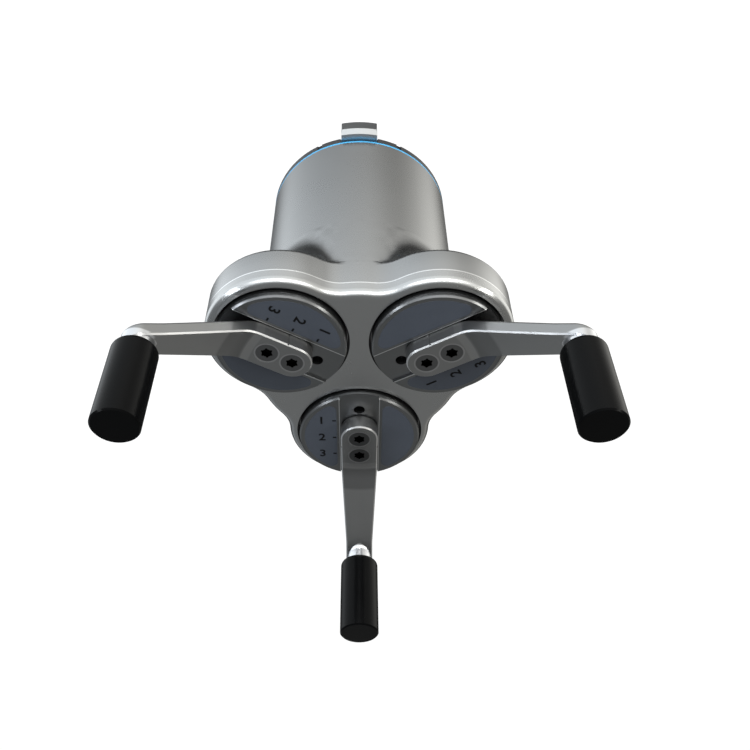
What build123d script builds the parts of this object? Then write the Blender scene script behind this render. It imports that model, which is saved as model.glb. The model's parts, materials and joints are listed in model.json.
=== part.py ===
from build123d import *
from math import acos, atan2, cos, degrees, pi, radians, sin, sqrt, tan
import os

# Three jaw centric gripper on a quick-change adapter.
# The origin is the centre of the adapter's mounting face and +Z points to the fingertips.
# All lengths are in millimetres and all angles in degrees.

# Layout
LOBE_START = 90
LOBE_STEP = 120
LOBE_ANGLES = {"a": LOBE_START, "b": LOBE_START + LOBE_STEP, "c": LOBE_START + 2 * LOBE_STEP}
WAIST_ANGLES = [angle - LOBE_STEP / 2 for angle in LOBE_ANGLES.values()]
BUTTON_ANGLE = -90
CUT_OVERRUN = 1.0
FIT_GAP = 0.02
RUNNING_GAP = 0.05

# Gear train
GEAR_MODULE = 1.5
PINION_TEETH = 14
JAW_GEAR_TEETH = 30
PRESSURE_ANGLE = 20
GEAR_BACKLASH = 0.16
ADDENDUM_SHARE = 0.9
DEDENDUM_SHARE = 1.25
FLANK_POINTS = 3
DISC_CIRCLE = GEAR_MODULE * (PINION_TEETH + JAW_GEAR_TEETH) / 2

# Outside of the body, from the mounting face forwards
ADAPTER_HEIGHT = 13.5
RING_THICKNESS = 1.0
HOUSING_LENGTH = 96.0
COVER_THICKNESS = 6.5
DISC_PROUD = 3.0
BODY_RADIUS = 39.1
WAIST_TURN = 52.985
RIM_DEPTH = 12.5
RIM_ROUNDING = 2.0
FAIRING_RADIUS = 25.0
SECTION_OFFSETS = (0, 12, 23, 32, 38, 41, 44, 47, 50, 53, 56)
FAIRING_LEVEL_SHARES = (0.12, 0.3, 0.55, 0.8, 1.0)
ROUNDING_RISE_SHARES = (0.0, 0.5, 1.0)
COVER_ROUNDING = 3.0
RING_WIDTH = 2.9

# Inside of the housing
WALL = 3.0
DRIVE_WALL = 5.0
FLOOR_THICKNESS = 3.0
PILLAR_INSET = 7.1
PILLAR_CIRCLE = BODY_RADIUS - PILLAR_INSET
PILLAR_RADIUS = 5.0
REAR_BOSS_RADIUS = 4.5
REAR_BOSS_LENGTH = 14.0
REAR_BOSS_INSET = 6.6
REAR_BOSS_CIRCLE = BODY_RADIUS - REAR_BOSS_INSET
REAR_BOSS_ANGLES = (45, 135, 225, 315)
GASKET_INSET = 0.9
GASKET_WIDTH = 1.0
GASKET_HEIGHT = 0.9

# Screw sizes: shank radius, head radius and head height
M3 = (1.5, 2.75, 3.0)
M4 = (2.0, 3.5, 4.0)
FINGER_SCREW = (2.15, 4.6, 2.6)
SCREW_HOLE_GAP = 0.15
THREAD_GRIP = 5.0
RECESS_RADIUS_SHARE = 0.5
RECESS_DEPTH_SHARE = 0.6
SOCKET_SIDES = 6
STAR_LOBE_SHARE = 0.2

# Disc with its hub and bearing
BEARING_OUTER_RADIUS = 22.0
BEARING_SECTION = 4.5
BEARING_BORE_RADIUS = BEARING_OUTER_RADIUS - BEARING_SECTION
DISC_OVERHANG = 2.1
DISC_RADIUS = BEARING_OUTER_RADIUS + DISC_OVERHANG
DISC_THICKNESS = 6.0
DISC_CHAMFER = 0.6
DISC_GAP = 1.05
CHANNEL_WIDTH = 15.4
CHANNEL_DEPTH = 1.2
HOLE_PITCH = 10.0
HOLE_RADIUS = 2.2
HOLE_DEPTH = 6.5
BEARING_WIDTH = 5.0
BEARING_RING = 1.5
BEARING_SHIELD = 0.6
LIP_THICKNESS = 1.5
LIP_GAP = 0.5
LIP_INSET = 1.5
BOSS_WALL = 3.0
BOSS_SKIRT = 0.5
BOSS_GAP = 0.2
LOBE_RADIUS = BEARING_OUTER_RADIUS + BOSS_WALL + BOSS_GAP + WALL
LOBE_REACH = DISC_CIRCLE * cos(radians(WAIST_TURN))
WAIST_RISE = LOBE_RADIUS**2 - BODY_RADIUS**2 - DISC_CIRCLE**2 + 2 * BODY_RADIUS * LOBE_REACH
WAIST_BLEND = WAIST_RISE / (2 * (BODY_RADIUS - LOBE_RADIUS - LOBE_REACH))
SPIGOT_STEP = 7.5
SPIGOT_RADIUS = BEARING_BORE_RADIUS - SPIGOT_STEP
SEAL_WIDTH = 0.7
SEAL_HEIGHT = 2.2
GEAR_FACE = 4.4
GEAR_FLOOR_GAP = 0.6
GEAR_SCREW_INSET = 3.5
GEAR_SCREW_CIRCLE = BEARING_BORE_RADIUS - GEAR_SCREW_INSET
GEAR_SCREW_COUNT = 3
GEAR_SCREW_START = 30

# Labels inlaid in the disc
LABEL_MARGIN = 2.1
LABEL_RADIUS = DISC_RADIUS - LABEL_MARGIN
LABEL_INNER_EDGE = 9.0
LABEL_THICKNESS = 0.5
LABEL_CORNER = 2.5
LABEL_PROUD = 0.08

# Finger
FINGER_LENGTH = 49.2
FOOT_HALF_WIDTH = 7.3
FOOT_HEIGHT = 5.5
NOSE_CENTRE = 5.0
TAPER_START = 14.0
TIP_LAND = 6.2
TAPER_END = FINGER_LENGTH - TIP_LAND
TAPER_BLEND = 40.0
TIP_HALF_WIDTH = 5.5
ARM_BEND = 13.9
ARM_SLOPE = 29.1
ARM_THICKNESS = 5.2
BEND_RADIUS = 14.0
ARM_REAR_ROUNDING = 1.2
ARM_FRONT_CHAMFER = 0.5
ARM_EDGE_SHARE = 0.25
BOSS_RADIUS = 4.9
BOSS_HEIGHT = 27.5
BOSS_BLEND = 2.5
INDEX_WIDTH = 0.6
INDEX_DEPTH = 0.3

# Fingertip
TIP_HEIGHT = 60.0
SLEEVE_RADIUS = 7.66
SLEEVE_ROUNDING = 2.0
SLEEVE_CHAMFER = 0.5
SLEEVE_END_WALL = 3.0
CORE_RADIUS = 4.0
CORE_THREAD_RADIUS = 3.0
CORE_THREAD_DEPTH = 6.0

# Drive
MOTOR_RADIUS = 21.0
MOTOR_LENGTH = 40.0
GEARHEAD_LENGTH = 26.0
GEARHEAD_SPIGOT_RADIUS = 9.0
GEARHEAD_SPIGOT_HEIGHT = 3.0
GEARHEAD_SCREW_CIRCLE = 15.5
GEARHEAD_BORE_DEPTH = 16.0
MOTOR_JOINT_GROOVE = 0.6
MOTOR_JOINT_DEPTH = 5.0
SHAFT_RADIUS = 4.0
SHAFT_END_RADIUS = 2.5
PINION_BUSH_RADIUS = 6.5
PINION_BUSH_LENGTH = 4.0
ENCODER_RADIUS = 15.0
ENCODER_THICKNESS = 1.6
ENCODER_GAP = 2.0
ENCODER_SPACER_RADIUS = 1.5
ENCODER_SPACER_CIRCLE = 12.0
BOARD_INSET = 11.6
BOARD_RADIUS = BODY_RADIUS - BOARD_INSET
BOARD_THICKNESS = 1.6
STANDOFF_HEIGHT = 5.0
STANDOFF_RADIUS = 2.5
STANDOFF_INSET = 3.5
STANDOFF_CIRCLE = BOARD_RADIUS - STANDOFF_INSET
BOARD_SCREW_GRIP = 4.0
BOARD_CHIP = (9.0, 9.0, 1.4)
BOARD_CHIP_PLACES = ((0, 1.1), (120, 1.5), (240, 1.2))

# Quick-change coupling
FLANGE_THICKNESS = 4.0
HUB_INSET = 9.1
HUB_RADIUS = BODY_RADIUS - HUB_INSET
HUB_GAP = 1.0
HUB_FLOOR_GAP = 0.5
GROOVE_DEPTH = 1.6
POCKET_RADIUS = 13.0
POCKET_ROOF = 3.5
HEAD_POCKET_DEPTH = 1.8
HEAD_POCKET_GAP = 0.4
PAD_BOARD_THICKNESS = 1.2
PAD_BOARD_RADIUS = 12.5
CONTACT_BLOCK_RADIUS = 11.0
CONTACT_PIN_RADIUS = 0.8
CONTACT_STANDOUT = 0.8
CONTACT_SINK = 2.0
CONTACT_CIRCLE = 7.0
CONTACT_COUNT = 8

# Adapter plate with the standard 50 mm robot flange pattern
FACE_INSET = 5.9
FACE_RADIUS = BODY_RADIUS - FACE_INSET
FACE_LAND = 2.5
ADAPTER_FLOOR = 5.0
RIM_HEIGHT = 3.3
ADAPTER_BOLT_CIRCLE = 25.0
ADAPTER_BOLT_HOLE = 3.3
ADAPTER_BOLT_HEAD = 5.3
ADAPTER_BOLT_SEAT = 2.5
DOWEL_RADIUS = 3.0
NOTCH_ANGLE = 26.3
NOTCH_WIDTH = 2.2
NOTCH_DEPTH = 1.6
LATCH_POCKET_INSET = 4.1
LATCH_POCKET_RADIUS = BODY_RADIUS - LATCH_POCKET_INSET
LATCH_FLOOR = 7.8
LATCH_THICKNESS = 3.0
LATCH_GAP = 0.2
LATCH_SIDE_GAP = 2.0
LATCH_RADIUS = LATCH_POCKET_RADIUS - LATCH_SIDE_GAP
LATCH_HUB_GAP = 0.4
LATCH_OPENING = HUB_RADIUS + LATCH_HUB_GAP
LATCH_OFFSET = 1.4
LATCH_TRAVEL = 1.9
TONGUE_WIDTH = 10.0
TONGUE_COVER = 2.0
BUTTON_WIDTH = 15.5
BUTTON_SIDE_GAP = 0.4
BUTTON_BOTTOM = 1.5
BUTTON_TOP = 12.4
BUTTON_PROUD = 3.8
BUTTON_REACH = BODY_RADIUS + BUTTON_PROUD
BUTTON_DEPTH = 7.0
BUTTON_BEVEL = 1.3
BUTTON_TOP_BEVEL = 1.0
BUTTON_CREST_SHARE = 0.72
BUTTON_ROUNDING = 1.8
SPRING_RADIUS = 1.2
SPRING_WIRE = 0.3
SPRING_TURNS = 3
SPRING_SPREAD = 9.0

# Heights worked out from the layout
RING_TOP = ADAPTER_HEIGHT + RING_THICKNESS
SEAM_Z = RING_TOP + HOUSING_LENGTH
FACE_Z = SEAM_Z + COVER_THICKNESS
LAND_Z = FACE_Z + DISC_PROUD
RIM_Z = SEAM_Z - RIM_DEPTH
FLOOR_Z = RIM_Z + FLOOR_THICKNESS
DRIVE_WALL_Z = FLOOR_Z - DRIVE_WALL
DISC_BOTTOM = LAND_Z - DISC_THICKNESS
CHANNEL_Z = LAND_Z - CHANNEL_DEPTH
OPENING_RADIUS = DISC_RADIUS + DISC_GAP
LIP_TOP = DISC_BOTTOM - LIP_GAP
BEARING_TOP = LIP_TOP - LIP_THICKNESS
BEARING_BOTTOM = BEARING_TOP - BEARING_WIDTH
LIP_RADIUS = BEARING_OUTER_RADIUS - LIP_INSET
GEAR_BOTTOM = FLOOR_Z + GEAR_FLOOR_GAP
GEAR_TOP = GEAR_BOTTOM + GEAR_FACE
FLANGE_TOP = ADAPTER_HEIGHT + FLANGE_THICKNESS
HUB_BOTTOM = ADAPTER_FLOOR + HUB_FLOOR_GAP
POCKET_TOP = ADAPTER_HEIGHT - POCKET_ROOF
INNER_RADIUS = BODY_RADIUS - WALL
GEARHEAD_BOTTOM = DRIVE_WALL_Z - GEARHEAD_LENGTH
MOTOR_BOTTOM = GEARHEAD_BOTTOM - MOTOR_LENGTH
TIP_Z = LAND_Z + TIP_HEIGHT
BOSS_Z = LAND_Z + BOSS_HEIGHT


def polar(radius, angle, height=0):
    return (radius * cos(radians(angle)), radius * sin(radians(angle)), height)


def cylinder(radius, low, high, x=0, y=0):
    return Pos(x, y, low) * extrude(Circle(radius), high - low)


def tube(inner, outer, low, high):
    return cylinder(outer, low, high) - cylinder(inner, low - CUT_OVERRUN, high + CUT_OVERRUN)


def block(size_x, size_y, low, high, x=0, y=0):
    return Pos(x, y, low) * extrude(Rectangle(size_x, size_y), high - low)


def around(shape, angles):
    return [Rot(0, 0, angle) * shape for angle in angles]


def at_disc(shape, angle):
    """Carries a shape from the disc's own frame, +X outwards, to its lobe."""
    return Rot(0, 0, angle) * Pos(DISC_CIRCLE, 0, 0) * shape


def revolved(points):
    """Turns an outline of (radius, height) points about Z."""
    outline = make_face(Polyline([(radius, 0, height) for radius, height in points], close=True))
    return revolve(outline, Axis.Z)


def blend_angle(body, lobe, blend):
    """Angle from a lobe's direction to the centre of the waist's blend arc."""
    near = body + blend
    far = lobe + blend
    return degrees(acos((near**2 + DISC_CIRCLE**2 - far**2) / (2 * near * DISC_CIRCLE)))


def lobed_face(inset=0):
    """Outline of three lobes on a round body, drawn inwards by an inset."""
    body = BODY_RADIUS - inset
    lobe = LOBE_RADIUS - inset
    blend = WAIST_BLEND + inset
    turn = blend_angle(body, lobe, blend)
    edges = []
    for angle in LOBE_ANGLES.values():
        centre = Vector(*polar(DISC_CIRCLE, angle))
        ends = []
        for side in (-1, 1):
            pivot = Vector(*polar(body + blend, angle + side * turn))
            on_lobe = centre + (pivot - centre).normalized() * lobe
            on_body = Vector(*polar(body, angle + side * turn))
            middle = (on_lobe + on_body) / 2 - pivot
            edges.append(ThreePointArc(on_lobe, pivot + middle.normalized() * blend, on_body))
            ends.append(on_lobe)
        edges.append(ThreePointArc(ends[0], Vector(*polar(DISC_CIRCLE + lobe, angle)), ends[1]))
        next_start = polar(body, angle + LOBE_STEP - turn)
        waist = polar(body, angle + LOBE_STEP / 2)
        edges.append(ThreePointArc(polar(body, angle + turn), waist, next_start))
    return make_face(edges)


def lobed_radius(angle):
    """Distance from the axis to the lobed outline in one direction."""
    off = abs((angle - LOBE_START + LOBE_STEP / 2) % LOBE_STEP - LOBE_STEP / 2)
    turn = blend_angle(BODY_RADIUS, LOBE_RADIUS, WAIST_BLEND)
    near = BODY_RADIUS + WAIST_BLEND
    pivot = (near * cos(radians(turn)), near * sin(radians(turn)))
    share = LOBE_RADIUS / (LOBE_RADIUS + WAIST_BLEND)
    on_lobe = (DISC_CIRCLE + (pivot[0] - DISC_CIRCLE) * share, pivot[1] * share)
    if off < degrees(atan2(on_lobe[1], on_lobe[0])):
        across = DISC_CIRCLE * sin(radians(off))
        return DISC_CIRCLE * cos(radians(off)) + sqrt(LOBE_RADIUS**2 - across**2)
    if off < turn:
        across = near * sin(radians(turn - off))
        return near * cos(radians(turn - off)) - sqrt(WAIST_BLEND**2 - across**2)
    return BODY_RADIUS


def polar_face(height, radius_at):
    """Smooth closed section whose radius is a function of direction."""
    offsets = [*SECTION_OFFSETS, LOBE_STEP / 2]
    offsets += [LOBE_STEP - offset for offset in reversed(SECTION_OFFSETS[1:])]
    angles = [centre + offset for centre in LOBE_ANGLES.values() for offset in offsets]
    points = [polar(radius_at(angle), angle, height) for angle in angles]
    knots = [angle - LOBE_START for angle in angles] + [360]
    return make_face(Edge.make_spline(points, periodic=True, parameters=knots))


def rim_inset(angle, depth):
    """Inset of the rounded rim, which fades out where the lobes meet the body."""
    width = lobed_radius(angle) - BODY_RADIUS
    return depth * width / (width + RIM_ROUNDING)


def fairing_radius(angle, rise):
    """Concave flare from the body out to the rim, as a rolling ball would leave it."""
    width = lobed_radius(angle) - rim_inset(angle, RIM_ROUNDING) - BODY_RADIUS
    reach = max(FAIRING_RADIUS - width, 0)
    centre_rise = sqrt(FAIRING_RADIUS**2 - reach**2)
    left = max(centre_rise - rise, 0)
    return BODY_RADIUS + FAIRING_RADIUS - sqrt(FAIRING_RADIUS**2 - left**2)


def outer_form():
    """Round body, its flare out to the three lobes with a rounded rim, and their straight wall."""
    rounding = []
    for share in ROUNDING_RISE_SHARES:
        depth = RIM_ROUNDING * (1 - sqrt(1 - share**2))
        height = RIM_Z + RIM_ROUNDING * (1 - share)
        rounding.append(polar_face(height, lambda angle: lobed_radius(angle) - rim_inset(angle, depth)))
    flare = [rounding[-1]]
    for share in FAIRING_LEVEL_SHARES:
        rise = FAIRING_RADIUS * share
        flare.append(polar_face(RIM_Z - rise, lambda angle: fairing_radius(angle, rise)))
    body = extrude(flare[-1], flare[-1].center().Z - RING_TOP, dir=(0, 0, -1))
    wall = extrude(rounding[0], SEAM_Z - RIM_Z - RIM_ROUNDING)
    return body + loft(flare) + loft(rounding) + wall


def hexagon_socket(radius):
    return RegularPolygon(radius, SOCKET_SIDES)


def star_socket(radius):
    """Six-lobe outline: a round core with six round lobes."""
    lobe = radius * STAR_LOBE_SHARE
    outline = Circle(radius - lobe)
    for side in range(SOCKET_SIDES):
        outline += Pos(*polar(radius - lobe, 360 * side / SOCKET_SIDES)) * Circle(lobe)
    return outline


def screw(size, length, countersunk=False, socket=hexagon_socket):
    """Screw along Z with the underside of its head at zero, or its head flush if countersunk."""
    shank, head, height = size
    if countersunk:
        body = revolved([(0, 0), (head, 0), (shank, -height), (shank, -length), (0, -length)])
        recess_low = -height * RECESS_DEPTH_SHARE
        recess_high = CUT_OVERRUN
    else:
        body = cylinder(shank, -length, 0) + cylinder(head, 0, height)
        recess_low = height * (1 - RECESS_DEPTH_SHARE)
        recess_high = height + CUT_OVERRUN
    recess = socket(head * RECESS_RADIUS_SHARE)
    return body - Pos(0, 0, recess_low) * extrude(recess, recess_high - recess_low)


def countersink(size, depth):
    """Cutter for a countersunk screw whose head is flush at zero."""
    shank, head, height = size
    wide = head + FIT_GAP
    narrow = shank + SCREW_HOLE_GAP
    return revolved(
        [
            (0, CUT_OVERRUN),
            (wide, CUT_OVERRUN),
            (wide, 0),
            (narrow, -height - FIT_GAP),
            (narrow, -depth),
            (0, -depth),
        ]
    )


def involute(angle):
    return tan(angle) - angle


def gear_face(teeth, phase):
    """Spur gear outline with involute flanks, one tooth centred on the phase angle."""
    pitch_radius = GEAR_MODULE * teeth / 2
    base_radius = pitch_radius * cos(radians(PRESSURE_ANGLE))
    tip_radius = pitch_radius + GEAR_MODULE * ADDENDUM_SHARE
    root_radius = pitch_radius - GEAR_MODULE * DEDENDUM_SHARE
    tooth_width = pi * GEAR_MODULE / 2 - GEAR_BACKLASH / 2
    half_angle = tooth_width / (2 * pitch_radius) + involute(radians(PRESSURE_ANGLE))
    flank_start = max(base_radius, root_radius)
    flank = []
    for index in range(FLANK_POINTS):
        radius = flank_start + (tip_radius - flank_start) * index / (FLANK_POINTS - 1)
        flank.append((radius, half_angle - involute(acos(min(base_radius / radius, 1)))))
    if root_radius < flank_start:
        flank.insert(0, (root_radius, flank[0][1]))
    points = []
    for tooth in range(teeth):
        centre = phase + 360 * tooth / teeth
        points += [polar(radius, centre - degrees(half)) for radius, half in flank]
        points += [polar(radius, centre + degrees(half)) for radius, half in reversed(flank)]
    return make_face(Polyline(points, close=True))


def jaw_gear_phase(angle):
    """Turn of a jaw gear, in its own frame, that meshes with the pinion."""
    pinion_pitch = 360 / PINION_TEETH
    jaw_pitch = 360 / JAW_GEAR_TEETH
    lead = ((angle - LOBE_START) % pinion_pitch) / pinion_pitch
    return 180 + (lead + 1 / 2) * jaw_pitch


# Adapter and quick-change coupling


def button_slot():
    width = BUTTON_WIDTH + 2 * BUTTON_SIDE_GAP
    depth = BUTTON_REACH - BUTTON_DEPTH - LATCH_TRAVEL - BUTTON_SIDE_GAP
    length = BUTTON_REACH - depth
    low = BUTTON_BOTTOM - BUTTON_SIDE_GAP
    high = ADAPTER_HEIGHT + CUT_OVERRUN
    return block(width, length, low, high, 0, -(depth + length / 2))


def adapter_plate():
    """Robot-side plate with the flange pattern, the latch pocket and the button slot."""
    rim_z = ADAPTER_HEIGHT - RIM_HEIGHT
    outline = [
        (0, 0),
        (FACE_RADIUS, 0),
        (FACE_RADIUS, FACE_LAND),
        (BODY_RADIUS, rim_z),
        (BODY_RADIUS, ADAPTER_HEIGHT),
        (0, ADAPTER_HEIGHT),
    ]
    plate = revolved(outline)
    top = ADAPTER_HEIGHT + CUT_OVERRUN
    plate -= cylinder(HUB_RADIUS + HUB_GAP, ADAPTER_FLOOR, top)
    plate -= cylinder(LATCH_POCKET_RADIUS, LATCH_FLOOR, top)
    plate -= button_slot()
    hole = cylinder(ADAPTER_BOLT_HOLE, -CUT_OVERRUN, ADAPTER_FLOOR, ADAPTER_BOLT_CIRCLE)
    hole += cylinder(ADAPTER_BOLT_HEAD, ADAPTER_BOLT_SEAT, LATCH_FLOOR, ADAPTER_BOLT_CIRCLE)
    plate -= around(hole, REAR_BOSS_ANGLES)
    plate -= cylinder(DOWEL_RADIUS, -CUT_OVERRUN, ADAPTER_FLOOR + CUT_OVERRUN, ADAPTER_BOLT_CIRCLE)
    notch_x = BODY_RADIUS - NOTCH_DEPTH / 2
    notch_length = NOTCH_DEPTH + NOTCH_WIDTH
    notch = block(notch_length, NOTCH_WIDTH, rim_z - NOTCH_DEPTH, top, notch_x + NOTCH_WIDTH / 2)
    for side in (BUTTON_ANGLE, -BUTTON_ANGLE):
        plate -= around(notch, (side - NOTCH_ANGLE, side + NOTCH_ANGLE))
    return plate


def latch_plate():
    """Ring that slides across the hub's groove, with a tongue for the button."""
    low = LATCH_FLOOR + LATCH_GAP
    high = low + LATCH_THICKNESS
    plate = cylinder(LATCH_RADIUS, low, high, 0, -LATCH_OFFSET)
    tongue_end = BUTTON_REACH - TONGUE_COVER
    plate += block(TONGUE_WIDTH, tongue_end, low, high, 0, -tongue_end / 2)
    plate -= cylinder(LATCH_OPENING, low - CUT_OVERRUN, high + CUT_OVERRUN, 0, -LATCH_OFFSET)
    return plate


def latch_cover_ring():
    low = LATCH_FLOOR + LATCH_THICKNESS + 2 * LATCH_GAP
    ring = tube(HUB_RADIUS + HUB_GAP, LATCH_POCKET_RADIUS - FIT_GAP, low, ADAPTER_HEIGHT)
    return ring - button_slot()


def release_button():
    """Push button that follows the body's round, with a crest across its face, slotted over the tongue."""
    crest_z = BUTTON_BOTTOM + (BUTTON_TOP - BUTTON_BOTTOM) * BUTTON_CREST_SHARE
    inner = BUTTON_REACH - BUTTON_DEPTH
    head = revolved(
        [
            (0, BUTTON_BOTTOM),
            (BUTTON_REACH - BUTTON_BEVEL, BUTTON_BOTTOM),
            (BUTTON_REACH, crest_z),
            (BUTTON_REACH - BUTTON_TOP_BEVEL, BUTTON_TOP),
            (0, BUTTON_TOP),
        ]
    )
    outline = Pos(0, -inner - BUTTON_DEPTH / 2) * Rectangle(BUTTON_WIDTH, BUTTON_DEPTH)
    outline = fillet(outline.vertices().group_by(Axis.Y)[0], BUTTON_ROUNDING)
    head &= Pos(0, 0, BUTTON_BOTTOM) * extrude(outline, BUTTON_TOP - BUTTON_BOTTOM)
    low = LATCH_FLOOR + LATCH_GAP - FIT_GAP
    high = low + LATCH_THICKNESS + 2 * FIT_GAP
    slot_end = BUTTON_REACH - TONGUE_COVER + FIT_GAP
    width = TONGUE_WIDTH + 2 * FIT_GAP
    return head - block(width, slot_end, low, high, 0, -slot_end / 2)


def latch_springs():
    """Two compression springs that push the latch plate back towards the button."""
    across = sqrt(LATCH_RADIUS**2 - (SPRING_SPREAD - SPRING_RADIUS) ** 2) - LATCH_OFFSET
    wall = sqrt(LATCH_POCKET_RADIUS**2 - (SPRING_SPREAD + SPRING_RADIUS) ** 2)
    length = wall - across - 2 * SPRING_WIRE
    height = LATCH_FLOOR + LATCH_GAP + LATCH_THICKNESS / 2
    coil = SPRING_RADIUS - SPRING_WIRE / 2
    path = Helix(length / SPRING_TURNS, length, coil)
    wire = sweep(Plane(path @ 0, z_dir=path % 0) * RegularPolygon(SPRING_WIRE / 2, 6), path)
    springs = []
    for side in (-1, 1):
        springs.append(Pos(side * SPRING_SPREAD, across + SPRING_WIRE, height) * Rot(-90, 0, 0) * wire)
    return springs


def contact_block():
    top = POCKET_TOP - PAD_BOARD_THICKNESS - CONTACT_STANDOUT
    body = cylinder(CONTACT_BLOCK_RADIUS, ADAPTER_FLOOR, top)
    sink = cylinder(CONTACT_PIN_RADIUS + FIT_GAP, top - CONTACT_SINK, top + CUT_OVERRUN, CONTACT_CIRCLE)
    return body - around(sink, contact_angles())


def contact_angles():
    return [360 * index / CONTACT_COUNT for index in range(CONTACT_COUNT)]


def contact_pins():
    top = POCKET_TOP - PAD_BOARD_THICKNESS
    pin = cylinder(CONTACT_PIN_RADIUS, top - CONTACT_STANDOUT - CONTACT_SINK, top, CONTACT_CIRCLE)
    return around(pin, contact_angles())


def contact_pad_board():
    return cylinder(PAD_BOARD_RADIUS, POCKET_TOP - PAD_BOARD_THICKNESS, POCKET_TOP)


def coupling_plate():
    """Tool-side half: flange in the housing's bore and grooved hub in the adapter."""
    plate = cylinder(INNER_RADIUS - RUNNING_GAP, ADAPTER_HEIGHT, FLANGE_TOP)
    plate += cylinder(HUB_RADIUS, HUB_BOTTOM, ADAPTER_HEIGHT)
    groove_low = LATCH_FLOOR
    groove_high = LATCH_FLOOR + LATCH_THICKNESS + 2 * LATCH_GAP
    plate -= tube(HUB_RADIUS - GROOVE_DEPTH, HUB_RADIUS + CUT_OVERRUN, groove_low, groove_high)
    plate -= cylinder(POCKET_RADIUS, HUB_BOTTOM - CUT_OVERRUN, POCKET_TOP)
    head_pocket = cylinder(
        ADAPTER_BOLT_HEAD + HEAD_POCKET_GAP,
        HUB_BOTTOM - CUT_OVERRUN,
        HUB_BOTTOM + HEAD_POCKET_DEPTH,
        ADAPTER_BOLT_CIRCLE,
    )
    plate -= around(head_pocket, REAR_BOSS_ANGLES)
    sink = Pos(REAR_BOSS_CIRCLE, 0, ADAPTER_HEIGHT) * Rot(180, 0, 0) * countersink(M3, FLANGE_THICKNESS * 2)
    return plate - around(sink, REAR_BOSS_ANGLES)


def coupling_screws():
    one = Rot(180, 0, 0) * screw(M3, FLANGE_THICKNESS + THREAD_GRIP, countersunk=True)
    return around(Pos(REAR_BOSS_CIRCLE, 0, ADAPTER_HEIGHT) * one, REAR_BOSS_ANGLES)


def sealing_ring():
    return tube(BODY_RADIUS - RING_WIDTH, BODY_RADIUS, ADAPTER_HEIGHT, RING_TOP)


# Housing and cover


def main_housing():
    """Cast shell: round body flaring into three lobes, with the drive wall inside."""
    shell = outer_form() - cylinder(INNER_RADIUS, RING_TOP - CUT_OVERRUN, DRIVE_WALL_Z)
    shell -= Pos(0, 0, FLOOR_Z) * extrude(lobed_face(WALL), SEAM_Z)
    shell += around(cylinder(PILLAR_RADIUS, FLOOR_Z, SEAM_Z, PILLAR_CIRCLE), WAIST_ANGLES)
    boss_top = FLANGE_TOP + REAR_BOSS_LENGTH
    shell += around(cylinder(REAR_BOSS_RADIUS, FLANGE_TOP, boss_top, REAR_BOSS_CIRCLE), REAR_BOSS_ANGLES)
    thread = cylinder(M3[0] + FIT_GAP, FLANGE_TOP - CUT_OVERRUN, FLANGE_TOP + THREAD_GRIP, REAR_BOSS_CIRCLE)
    shell -= around(thread, REAR_BOSS_ANGLES)
    clear = cylinder(M4[0] + SCREW_HOLE_GAP, DRIVE_WALL_Z - CUT_OVERRUN, SEAM_Z + CUT_OVERRUN, PILLAR_CIRCLE)
    shell -= around(clear, WAIST_ANGLES)
    shell -= cylinder(GEARHEAD_SPIGOT_RADIUS + FIT_GAP, DRIVE_WALL_Z - CUT_OVERRUN, FLOOR_Z + CUT_OVERRUN)
    sink = Pos(GEARHEAD_SCREW_CIRCLE, 0, FLOOR_Z) * countersink(M3, DRIVE_WALL + CUT_OVERRUN)
    shell -= around(sink, WAIST_ANGLES)
    groove = lobed_face(GASKET_INSET) - lobed_face(GASKET_INSET + GASKET_WIDTH)
    shell -= Pos(0, 0, SEAM_Z - GASKET_HEIGHT) * extrude(groove, GASKET_HEIGHT + CUT_OVERRUN)
    return shell


def cover_gasket():
    ring = lobed_face(GASKET_INSET + FIT_GAP) - lobed_face(GASKET_INSET + GASKET_WIDTH - FIT_GAP)
    return Pos(0, 0, SEAM_Z - GASKET_HEIGHT) * extrude(ring, GASKET_HEIGHT)


def front_cover():
    """Lobed cover with three disc openings and a bearing seat behind each."""
    cover = Pos(0, 0, SEAM_Z) * extrude(lobed_face(), COVER_THICKNESS)
    cover = fillet(cover.edges().group_by(Axis.Z)[-1], COVER_ROUNDING)
    boss_bottom = BEARING_BOTTOM - BOSS_SKIRT
    opening = cylinder(OPENING_RADIUS, LIP_TOP, FACE_Z + CUT_OVERRUN)
    opening += cylinder(LIP_RADIUS, boss_bottom - CUT_OVERRUN, FACE_Z)
    opening += cylinder(BEARING_OUTER_RADIUS + FIT_GAP, boss_bottom - CUT_OVERRUN, BEARING_TOP)
    for angle in LOBE_ANGLES.values():
        cover += at_disc(cylinder(BEARING_OUTER_RADIUS + BOSS_WALL, boss_bottom, LIP_TOP), angle)
    for angle in LOBE_ANGLES.values():
        cover -= at_disc(opening, angle)
    cover -= cylinder(PINION_BUSH_RADIUS + FIT_GAP, boss_bottom - CUT_OVERRUN, SEAM_Z + PINION_BUSH_LENGTH)
    thread = cylinder(M4[0] + FIT_GAP, SEAM_Z - CUT_OVERRUN, SEAM_Z + THREAD_GRIP, PILLAR_CIRCLE)
    return cover - around(thread, WAIST_ANGLES)


def cover_screws():
    length = SEAM_Z - DRIVE_WALL_Z + THREAD_GRIP - CUT_OVERRUN
    one = Pos(PILLAR_CIRCLE, 0, DRIVE_WALL_Z) * Rot(180, 0, 0) * screw(M4, length)
    return around(one, WAIST_ANGLES)


def disc_seals():
    ring = tube(OPENING_RADIUS - SEAL_WIDTH, OPENING_RADIUS - FIT_GAP, LIP_TOP, LIP_TOP + SEAL_HEIGHT)
    return [at_disc(ring, angle) for angle in LOBE_ANGLES.values()]


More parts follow.
